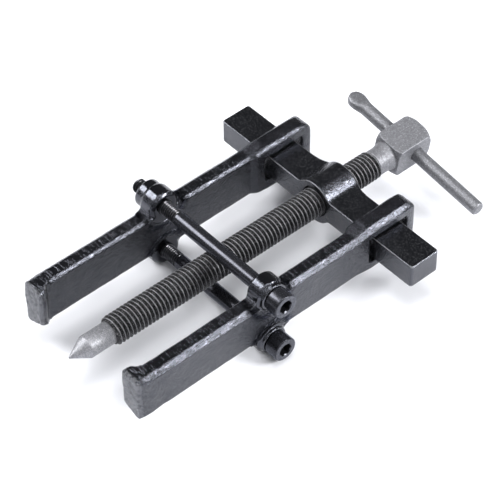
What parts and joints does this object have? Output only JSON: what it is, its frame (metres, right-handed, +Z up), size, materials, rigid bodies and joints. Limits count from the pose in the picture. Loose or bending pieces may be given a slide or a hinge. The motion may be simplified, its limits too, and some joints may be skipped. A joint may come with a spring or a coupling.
{
  "type": "two-jaw puller",
  "caption": "Small two-jaw puller with sliding forged jaws on a crossbeam, a pointed forcing screw with a handle bar, and cap screws that draw the jaws together.",
  "frame": {"origin": "middle of the part's length and width, on the plane under the lower ears, as the tool lies flat", "axes": "+Y along the forcing screw from its point to its handle, +X along the crossbeam towards the cap screw heads, +Z up"},
  "size_m": [0.107, 0.1756, 0.0366],
  "materials": {
    "black_paint": "glossy black paint over rough forged steel",
    "phosphated_steel": "matt grey phosphate over machined steel",
    "black_oxide": "semi-gloss black oxide"
  },
  "bodies": {
    "yoke": {"yoke": "black_paint"},
    "right_jaw": {"right_jaw": "black_paint"},
    "left_jaw": {"left_jaw": "black_paint"},
    "forcing_screw": {"forcing_screw": "phosphated_steel"},
    "handle_bar": {"handle_bar": "phosphated_steel"},
    "upper_clamp_screw": {"upper_clamp_screw": "black_oxide"},
    "lower_clamp_screw": {"lower_clamp_screw": "black_oxide"}
  },
  "joints": [
    {"name": "screw_advance", "type": "slide", "parent": "yoke", "child": "forcing_screw", "axis": [0, -1, 0], "range_m": [-0.09, 0.015]},
    {"name": "bar_slide", "type": "slide", "parent": "forcing_screw", "child": "handle_bar", "axis": [0.989, 0, -0.1478], "range_m": [-0.033, 0.016]},
    {"name": "right_jaw_slide", "type": "slide", "parent": "yoke", "child": "right_jaw", "axis": [1, 0, 0], "range_m": [-0.008, 0.008]},
    {"name": "upper_screw_turn", "type": "hinge", "parent": "right_jaw", "child": "upper_clamp_screw", "pos_m": [0.0352, -0.0203, 0.03], "axis": [-1, 0, 0], "range_deg": [-2881, 2521]},
    {"name": "lower_screw_turn", "type": "hinge", "parent": "right_jaw", "child": "lower_clamp_screw", "pos_m": [0.0352, -0.0203, 0.0066], "axis": [-1, 0, 0], "range_deg": [-2881, 2521]},
    {"name": "left_jaw_slide", "type": "slide", "parent": "right_jaw", "child": "left_jaw", "axis": [1, 0, 0], "range_m": [-0.008, 0.007]}
  ],
  "couplings": [
    {"joint": "upper_screw_turn", "follows": "left_jaw_slide", "rad_per_m": 6283.2},
    {"joint": "lower_screw_turn", "follows": "left_jaw_slide", "rad_per_m": 6283.2}
  ]
}
